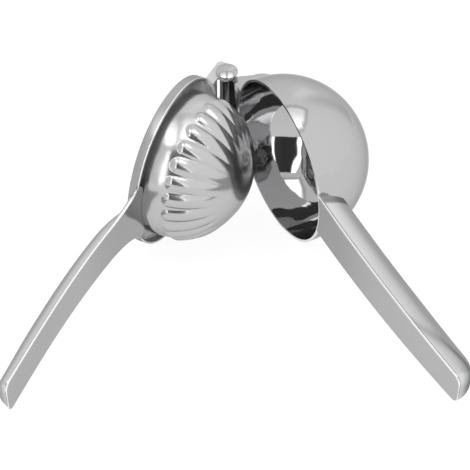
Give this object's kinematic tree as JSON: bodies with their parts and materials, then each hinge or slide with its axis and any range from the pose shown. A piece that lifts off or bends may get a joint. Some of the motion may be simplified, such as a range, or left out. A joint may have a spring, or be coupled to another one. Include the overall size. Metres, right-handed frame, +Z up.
{
  "type": "hand citrus press",
  "caption": "Hinged stainless steel citrus press lying open: perforated bowl and ribbed dome on two long handles.",
  "frame": {"origin": "on the surface it lies on, below the middle of the outline of the open press", "axes": "+Z up from the table, +Y from the handle tips towards the hinge, +X from the press half towards the bowl half"},
  "size_m": [0.1806, 0.1751, 0.0729],
  "materials": {
    "polished_steel": "mirror polished stainless steel",
    "satin_steel": "stainless steel, polished then lightly satined"
  },
  "bodies": {
    "bowl_half": {"bowl": "polished_steel", "bowl_bracket": "polished_steel", "hinge_barrel": "polished_steel", "bowl_handle_shell": "polished_steel", "bowl_handle_face": "satin_steel"},
    "press_half": {"press_dome": "polished_steel", "press_ring": "polished_steel", "press_yoke": "satin_steel", "press_handle_shell": "polished_steel", "press_handle_face": "satin_steel", "hinge_pin": "polished_steel", "hinge_pin_cap": "polished_steel"}
  },
  "joints": [
    {"name": "hinge", "type": "hinge", "parent": "bowl_half", "child": "press_half", "pos_m": [-0.0031, 0.0784, 0.04574], "axis": [0.0126, -0.2305, 0.973], "range_deg": [-126, 50]}
  ]
}
